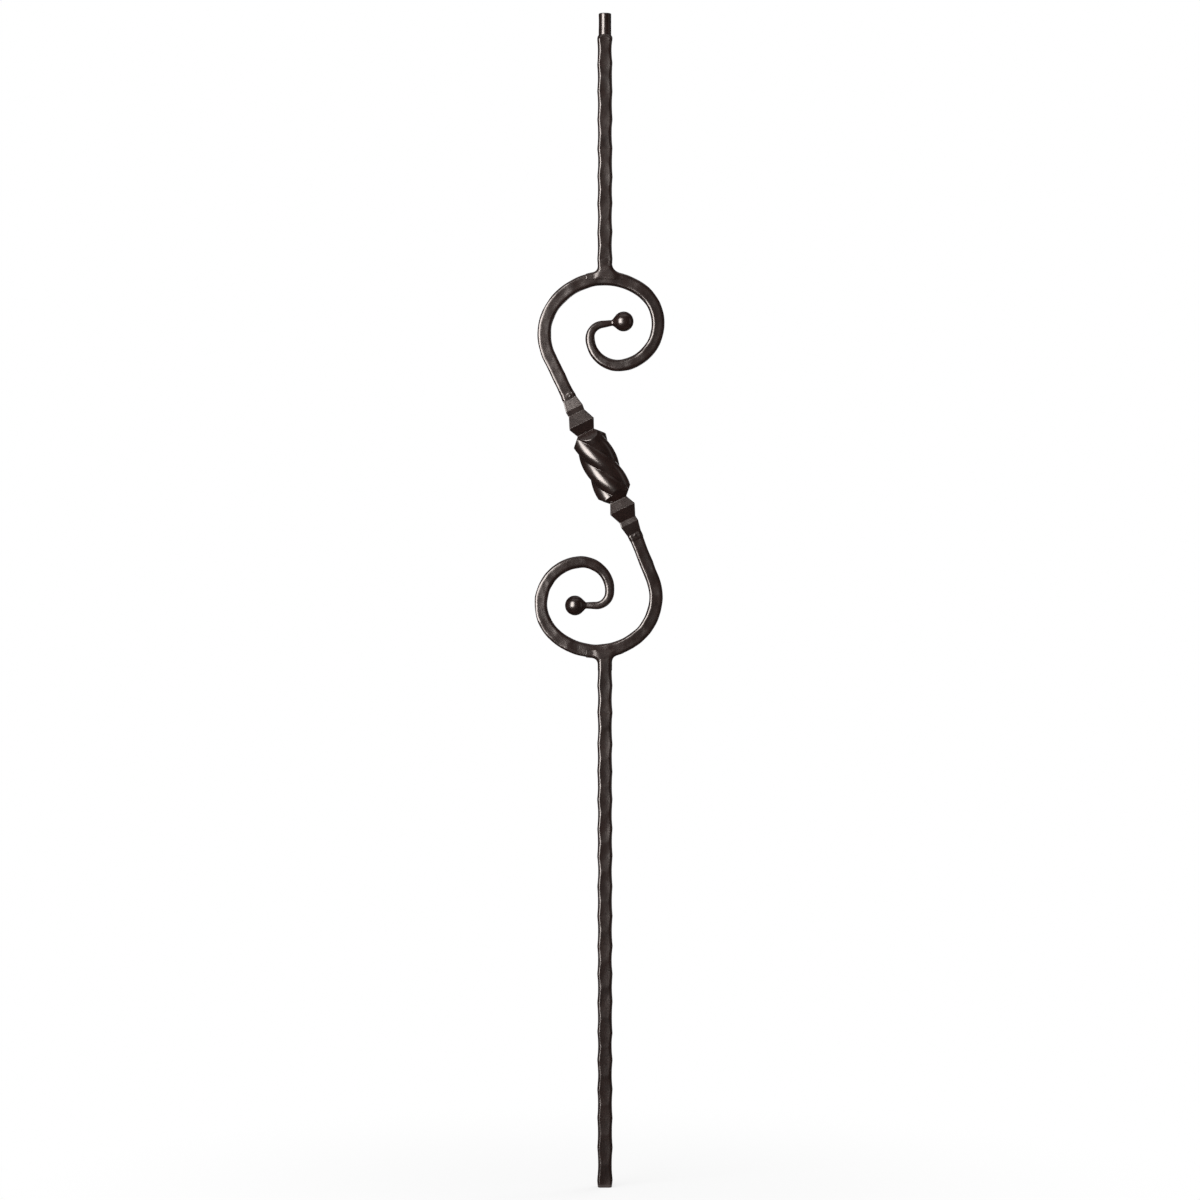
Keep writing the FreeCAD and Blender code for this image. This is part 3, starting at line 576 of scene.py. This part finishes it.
def scroll(which, material, seed):
    """Tapered scroll from its weld at the knuckle, over the crown, to the ball."""
    spots, stock, (end_x, end_z, heading, length) = scroll_line(which)
    angles = turns(*SCROLL_TURNS)[None, :]
    bent = scroll_outline(angles, spots[:, 3], spots[:, 2], stock, length, seed)
    tip_outline, tip_along = ball_outline(angles, NECK[which] / 2)
    tip = np.stack([end_x + tip_along * math.cos(heading), end_z + tip_along * math.sin(heading),
                    np.full(len(tip_along), heading)], axis=1)

    x, z, turn = np.concatenate([spots[:, :3], tip]).T
    centres = np.stack([x, 0 * x, z], axis=1)
    outward = np.stack([-np.sin(turn), 0 * x, np.cos(turn)], axis=1)
    if which == "lower":
        centres *= [-1, 1, -1]
        outward *= [-1, 1, -1]
    centres = centres + [0, 0, KNUCKLE_HEIGHT]
    return skin(f"{which}_scroll", centres, outward, angles,
                np.concatenate([bent, tip_outline]), material, SCROLL_GRAIN, seed + 1)


# Knuckle

def side_at(reach):
    """Half of the square that the collars and stems have at a distance from the centre."""
    at, sides = zip(*STATIONS)
    blur = np.linspace(-CREASE_BLUR, CREASE_BLUR, 7)
    return np.mean([np.interp(reach + shift, at, sides) for shift in blur], axis=0) / 2


def knuckle_heights():
    """Rings along the knuckle's axis, closer together at the collars' creases."""
    reach = np.concatenate([np.arange(NECK_REACH, STEM_REACH, COLLAR_STEP), [STEM_REACH]])
    creases = [station + CREASE_ROWS for station, _ in STATIONS[1:-1]]
    reach = np.unique(np.round(np.concatenate([reach, *creases]), 3))
    body = np.arange(-NECK_REACH + BODY_START, NECK_REACH - BODY_END, BODY_STEP)
    return np.concatenate([-reach[::-1], body, reach])


def knuckle(material):
    """Leaning twisted body of four lobes, faceted at its ends, between square collars.

    The rings turn with the lobes, and settle square to the collars near the necks.
    """
    heights = knuckle_heights()
    true_twist = -QUARTER * (heights - LOBE_FRONT) / QUARTER_TURN
    twist = true_twist
    body_end = NECK_REACH - SETTLING
    for sign in (1, -1):
        at_end = -QUARTER * (sign * body_end - LOBE_FRONT) / QUARTER_TURN
        settled = round(at_end / QUARTER) * QUARTER
        share = ease((sign * heights - body_end) / (NECK_REACH - body_end))
        twist = np.where(sign * heights > body_end, at_end + (settled - at_end) * share, twist)
    around = turns(*KNUCKLE_TURNS)[None, :] + twist[:, None]

    offset = (around - true_twist[:, None] + math.pi / 4) % QUARTER - math.pi / 4
    lobes = LOBE_OFFSET * np.cos(offset) + np.sqrt(
        LOBE_RADIUS ** 2 - (LOBE_OFFSET * np.sin(offset)) ** 2)
    squareness = np.maximum(np.abs(np.cos(around)), np.abs(np.sin(around)))
    neck = STATIONS[0][1] / 2
    facets = neck + np.maximum(NECK_REACH - np.abs(heights), 0)[:, None]
    body = np.maximum(soft_min(lobes, facets / squareness, LOBE_SOFT), neck)
    half = side_at(np.abs(heights))[:, None]
    collars = rounded_square(around, half, half, COLLAR_CORNER)
    outline = np.where((np.abs(heights) < NECK_REACH)[:, None], body, collars)

    centres = KNUCKLE_CENTRE + heights[:, None] * KNUCKLE_AXIS
    across = np.repeat([KNUCKLE_ACROSS], len(heights), axis=0)
    return skin("knuckle", centres, across, around, outline, material, KNUCKLE_GRAIN, 61)


# Welds

def butt_weld(which, material, seed):
    """Ground band of weld between knuckle and scroll, rough on one side of its front."""
    reach = np.linspace(-BUTT_REACH, BUTT_REACH, BUTT_ROWS)
    angles = turns(*BUTT_TURNS)[None, :]
    fade = 1 - (reach / BUTT_REACH) ** 2
    half = SCROLL_SIDE / 2 + (BUTT_SWELL * fade - BUTT_SINK)[:, None]
    outline = rounded_square(angles, half, half, SCROLL_CORNER)
    middle = STEM_REACH + BUTT_GAP / 2
    sign = 1 if which == "upper" else -1
    centres = KNUCKLE_CENTRE + (middle + reach)[:, None] * (sign * KNUCKLE_AXIS)
    across = sign * KNUCKLE_ACROSS
    u, v = outline * np.cos(angles), outline * np.sin(angles)
    points = centres[:, None] + u[..., None] * across + v[..., None] * [0, 1.0, 0]
    from_rough = (angles + ROUGH_TURN + math.pi) % TAU - math.pi
    rough = LUMP_EVEN + LUMP_ROUGH * np.exp(-from_rough ** 2 / ROUGH_SPREAD)
    lumps = np.maximum(ripple(points, LUMP_WAVE, seed), LUMP_FLOOR) * fade[:, None] * rough
    return skin(f"{which}_knuckle_weld", centres, np.repeat([across], len(reach), axis=0),
                angles, outline + lumps, material, BUTT_GRAIN, seed + 1)


def box_distance(u, v, half_u, half_v, corner):
    """Distance outside a long rounded bar, from the two coordinates of its section."""
    over_u, over_v = np.abs(u) - half_u + corner, np.abs(v) - half_v + corner
    outside = np.hypot(np.maximum(over_u, 0), np.maximum(over_v, 0))
    return outside + np.minimum(np.maximum(over_u, over_v), 0) - corner


def net(field, origin, step):
    """Smooth closed mesh of the surface where a field of distances is zero."""
    inside = field < 0
    shape = np.array(field.shape) - 1
    corners = [(i, j, k) for i in (0, 1) for j in (0, 1) for k in (0, 1)]

    def shifted(grid, corner):
        return grid[tuple(slice(c, c + n) for c, n in zip(corner, shape))]

    total, count = np.zeros((*shape, 3)), np.zeros(shape)
    for corner in corners:
        for axis in range(3):
            if corner[axis]:
                continue
            other = tuple(c + (a == axis) for a, c in enumerate(corner))
            start, end = shifted(field, corner), shifted(field, other)
            crossing = (start < 0) != (end < 0)
            share = np.where(crossing, start / np.where(crossing, start - end, 1), 0)
            spot = np.array(corner, float) + np.eye(3)[axis] * share[..., None]
            total += spot * crossing[..., None]
            count += crossing
    used = count > 0
    number = np.full(shape, -1)
    number[used] = np.arange(used.sum())
    cells = np.argwhere(used)
    points = origin + (cells + total[used] / count[used][:, None]) * step

    faces = []
    for axis in range(3):
        side, up = (axis + 1) % 3, (axis + 2) % 3
        change = inside != np.roll(inside, -1, axis)
        for cell in np.argwhere(change):
            if cell[axis] >= shape[axis] or min(cell[side], cell[up]) < 1:
                continue
            if cell[side] >= shape[side] or cell[up] >= shape[up]:
                continue
            ring = []
            for a, b in ((-1, -1), (0, -1), (0, 0), (-1, 0)):
                near = cell.copy()
                near[side] += a
                near[up] += b
                ring.append(int(number[tuple(near)]))
            faces.append(tuple(ring) if inside[tuple(cell)] else tuple(reversed(ring)))
    return points, faces


def bar_weld(which, material, seed):
    """Concave weld that runs the bar into the scroll, ground flush front and back."""
    block = [np.arange(-BLOCK_REACH, BLOCK_REACH, CELL), np.arange(-BLOCK_DEEP, BLOCK_DEEP, CELL),
             np.arange(-BLOCK_DROP, BLOCK_RISE, CELL)]
    x, y, z = np.meshgrid(*block, indexing="ij")

    crown = CROWN[which]
    outer = RADII[1] + SCROLL_SIDE / 2
    ring = np.hypot(x - crown, z + math.sqrt(outer ** 2 - crown ** 2))
    arch = box_distance(ring - RADII[1], y, SCROLL_SIDE / 2, SCROLL_SIDE / 2, SCROLL_CORNER)
    half = BAR_SIDE / 2 - BAR_INSET
    bar = np.maximum(box_distance(x, y, half, half, BAR_CORNER), -z - BAR_FOOT)
    rightward = ease((x + FILLET_SHIFT) / FILLET_CHANGE)
    joint = soft_min(bar, arch, FILLET + (FILLET_RIGHT[which] - FILLET) * rightward)
    joint = soft_max(joint, np.abs(y) - BAR_SIDE / 2 - GROUND_PROUD, GROUND_SOFT)
    relief = ripple(np.stack([x, y, z], axis=-1), WELD_WAVE, seed)
    joint = joint + WELD_SINK + WELD_RELIEF * relief
    margin = 2 * CELL
    ends = np.maximum(z - BLOCK_RISE + margin, -z - BLOCK_DROP + margin)
    ends = np.maximum(np.abs(x) - BLOCK_REACH + margin, ends)
    points, faces = net(np.maximum(joint, ends), np.array([axis[0] for axis in block]), CELL)
    if which == "lower":
        points = points * [-1, 1, -1]
    points = points + [0, 0, crown_height(which)]
    return mesh_piece(f"{which}_bar_weld", points, faces, material)


def crown_height(which):
    """Height on the bar line of the outside of a scroll's crown."""
    spots, _, _ = scroll_line(which)
    level = np.argmin(np.abs(spots[:, 2] % TAU))
    centre = spots[level, 1] - RADII[1]
    outer = RADII[1] + SCROLL_SIDE / 2
    rise = centre + math.sqrt(outer ** 2 - CROWN[which] ** 2)
    return KNUCKLE_HEIGHT + rise * (1 if which == "upper" else -1)


# Paint

def paint(name, grain):
    """Satin powder coat over forged iron: dark bronze, softly mottled, eggshell skin."""
    material = bpy.data.materials.new(name)
    material.use_nodes = True
    nodes, links = material.node_tree.nodes, material.node_tree.links
    shader = nodes["Principled BSDF"]
    shader.inputs["IOR"].default_value = COAT_IOR
    shader.inputs["Specular Tint"].default_value = SHINE_TINT
    shader.inputs["Metallic"].default_value = 0.0
    place = nodes.new("ShaderNodeTexCoord").outputs["Object"]

    def noise(scale, detail):
        node = nodes.new("ShaderNodeTexNoise")
        node.inputs["Scale"].default_value = scale
        node.inputs["Detail"].default_value = detail
        node.inputs["Roughness"].default_value = 0.5
        links.new(place, node.inputs["Vector"])
        return node.outputs["Fac"]

    def ramp(factor, low, high):
        node = nodes.new("ShaderNodeValToRGB")
        for stop, (spot, colour) in zip(node.color_ramp.elements, (low, high)):
            stop.position = spot
            stop.color = (*colour, 1) if isinstance(colour, tuple) else (colour,) * 3 + (1,)
        links.new(factor, node.inputs["Fac"])
        return node.outputs["Color"]

    def bump(height, strength, depth, below=None):
        node = nodes.new("ShaderNodeBump")
        node.inputs["Strength"].default_value = strength
        node.inputs["Distance"].default_value = depth
        links.new(height, node.inputs["Height"])
        if below:
            links.new(below, node.inputs["Normal"])
        return node.outputs["Normal"]

    dark, light = zip(COAT_STOPS, (DARK_COAT, LIGHT_COAT))
    links.new(ramp(noise(CLOUD_SCALE, 3), dark, light), shader.inputs["Base Color"])
    links.new(ramp(noise(ROUGHNESS_SCALE, 2), SMOOTH_STOP, ROUGH_STOP),
              shader.inputs["Roughness"])
    hammered = bump(noise(HAMMERED_SCALE, 1), HAMMERED_STRENGTH, HAMMERED_DEPTH * grain)
    eggshell = bump(noise(EGGSHELL_SCALE, 1), EGGSHELL_STRENGTH, EGGSHELL_DEPTH * grain, hammered)
    links.new(eggshell, shader.inputs["Normal"])
    return material


# Studio

def seen_directly(nodes, links):
    """One for camera, glossy and transmission rays, and nothing for the light's own."""
    path = nodes.new("ShaderNodeLightPath")
    value = path.outputs["Is Camera Ray"]
    for name in ("Is Glossy Ray", "Is Transmission Ray"):
        either = nodes.new("ShaderNodeMath")
        either.operation = "MAXIMUM"
        links.new(value, either.inputs[0])
        links.new(path.outputs[name], either.inputs[1])
        value = either.outputs[0]
    return value


def floor_paint():
    """Pale floor: white to the camera and in gloss, with the shadow kept near the foot."""
    material = bpy.data.materials.new("pale_floor")
    material.use_nodes = True
    nodes, links = material.node_tree.nodes, material.node_tree.links
    nodes.clear()
    plain = nodes.new("ShaderNodeBsdfDiffuse")
    plain.inputs["Color"].default_value = (FLOOR_TONE, FLOOR_TONE, FLOOR_TONE, 1)
    white = nodes.new("ShaderNodeEmission")
    place = nodes.new("ShaderNodeTexCoord")
    far = nodes.new("ShaderNodeVectorMath")
    far.operation = "LENGTH"
    links.new(place.outputs["Object"], far.inputs[0])
    fade = nodes.new("ShaderNodeMapRange")
    fade.interpolation_type = "SMOOTHSTEP"
    fade.inputs["From Min"].default_value = FADE_FROM
    fade.inputs["From Max"].default_value = FADE_TO
    fade.inputs["To Min"].default_value = FADE_LEAST
    fade.inputs["To Max"].default_value = 1.0
    links.new(far.outputs["Value"], fade.inputs["Value"])
    share = nodes.new("ShaderNodeMath")
    share.operation = "MULTIPLY"
    links.new(seen_directly(nodes, links), share.inputs[0])
    links.new(fade.outputs["Result"], share.inputs[1])
    mix = nodes.new("ShaderNodeMixShader")
    out = nodes.new("ShaderNodeOutputMaterial")
    links.new(share.outputs[0], mix.inputs[0])
    links.new(plain.outputs[0], mix.inputs[1])
    links.new(white.outputs[0], mix.inputs[2])
    links.new(mix.outputs[0], out.inputs["Surface"])
    return material


def stage_piece(name, points, faces, material):
    """Piece of the set, in metres, which is no part of the object."""
    mesh = bpy.data.meshes.new(name)
    mesh.from_pydata(points, [], faces)
    mesh.materials.append(material)
    piece = bpy.data.objects.new(name, mesh)
    bpy.context.scene.collection.objects.link(piece)
    return piece


def dark_tent():
    """Dark sheet hung round the set and laid under it, that only the gloss shows: it glows at a
    fixed dim tone, lit by nothing, as a painted dark reflection.
    """
    dark_reflection_sheet = bpy.data.materials.new("painted_dark_reflection")
    dark_reflection_sheet.use_nodes = True
    nodes, links = dark_reflection_sheet.node_tree.nodes, dark_reflection_sheet.node_tree.links
    nodes.clear()
    # Painted dark reflection: a fixed dim glow, not lit, that only glossy rays see
    glow = nodes.new("ShaderNodeEmission")
    glow.inputs["Color"].default_value = (TENT_TONE, TENT_TONE, TENT_TONE, 1)
    out = nodes.new("ShaderNodeOutputMaterial")
    links.new(glow.outputs[0], out.inputs["Surface"])
    around = [TAU * k / TENT_SIDES for k in range(TENT_SIDES)]
    points = [(TENT_RADIUS * math.cos(turn), TENT_RADIUS * math.sin(turn), z)
              for z in (TENT_FLOOR, TENT_HEIGHT) for turn in around]
    open_top = skin_faces(2, TENT_SIDES)[:-1]
    tent = stage_piece("tent", points, open_top, dark_reflection_sheet)
    tent.visible_camera = False
    tent.visible_diffuse = False
    tent.visible_transmission = False
    tent.visible_shadow = False


def floor():
    """Wide level floor at the baluster's foot."""
    corners = [(u * FLOOR_HALF, v * FLOOR_HALF, 0) for u, v in ((-1, -1), (1, -1), (1, 1), (-1, 1))]
    stage_piece("floor", corners, [(0, 1, 2, 3)], floor_paint())


def surroundings():
    """World that lights dimly and looks white."""
    world = bpy.data.worlds.new("studio")
    bpy.context.scene.world = world
    world.use_nodes = True
    nodes, links = world.node_tree.nodes, world.node_tree.links
    nodes.clear()
    dim = nodes.new("ShaderNodeBackground")
    dim.inputs["Color"].default_value = (WORLD_TONE, WORLD_TONE, WORLD_TONE, 1)
    white = nodes.new("ShaderNodeBackground")
    white.inputs["Color"].default_value = (1, 1, 1, 1)
    mix = nodes.new("ShaderNodeMixShader")
    out = nodes.new("ShaderNodeOutputWorld")
    links.new(seen_directly(nodes, links), mix.inputs[0])
    links.new(dim.outputs[0], mix.inputs[1])
    links.new(white.outputs[0], mix.inputs[2])
    links.new(mix.outputs[0], out.inputs["Surface"])


def soft_box(name, azimuth, elevation, distance, width, height, radiance, glossy):
    """Area lamp aimed at the middle; a shine lamp shows only in gloss, a fill only lights."""
    turn, lift = math.radians(azimuth), math.radians(elevation)
    back = Vector((math.sin(turn) * math.cos(lift), -math.cos(turn) * math.cos(lift),
                   math.sin(lift)))
    lamp = bpy.data.lights.new(name, "AREA")
    lamp.shape = "RECTANGLE"
    lamp.size, lamp.size_y = width, height
    lamp.energy = radiance * math.pi * width * height
    piece = bpy.data.objects.new(name, lamp)
    piece.location = LAMP_AIM + back * distance
    piece.rotation_euler = back.to_track_quat("Z", "Y").to_euler()
    piece.visible_camera = False
    piece.visible_diffuse = not glossy
    piece.visible_glossy = glossy
    bpy.context.scene.collection.objects.link(piece)


def camera():
    """Level view from the front that spans the photograph's frame at the bar line."""
    span = PHOTO_SIDE * PIXEL * MM
    away = span / 2 / math.tan(HALF_VIEW)
    data = bpy.data.cameras.new("camera")
    data.lens = data.sensor_width / 2 / math.tan(HALF_VIEW)
    piece = bpy.data.objects.new("camera", data)
    across = (PHOTO_SIDE / 2 - BAR_LINE_PX) * PIXEL * MM
    height = (FLOOR_LINE_PX - PHOTO_SIDE / 2) * PIXEL * MM
    piece.location = (across, -away, height)
    piece.rotation_euler = (QUARTER, 0, 0)
    bpy.context.scene.collection.objects.link(piece)
    bpy.context.scene.camera = piece


iron = paint("powder_coat", 1.0)
weld_paint = paint("powder_coat_on_weld", 2.0)
upper_bar(iron)
lower_bar(iron)
scroll("upper", iron, 31)
scroll("lower", iron, 47)
knuckle(iron)
for side_name, first_seed in (("upper", 71), ("lower", 83)):
    butt_weld(side_name, weld_paint, first_seed)
    bar_weld(side_name, weld_paint, first_seed + 5)

floor()
dark_tent()
surroundings()
for lamp_name, settings in LAMPS.items():
    soft_box(lamp_name, *settings)
camera()
bpy.context.scene.view_settings.view_transform = "Standard"
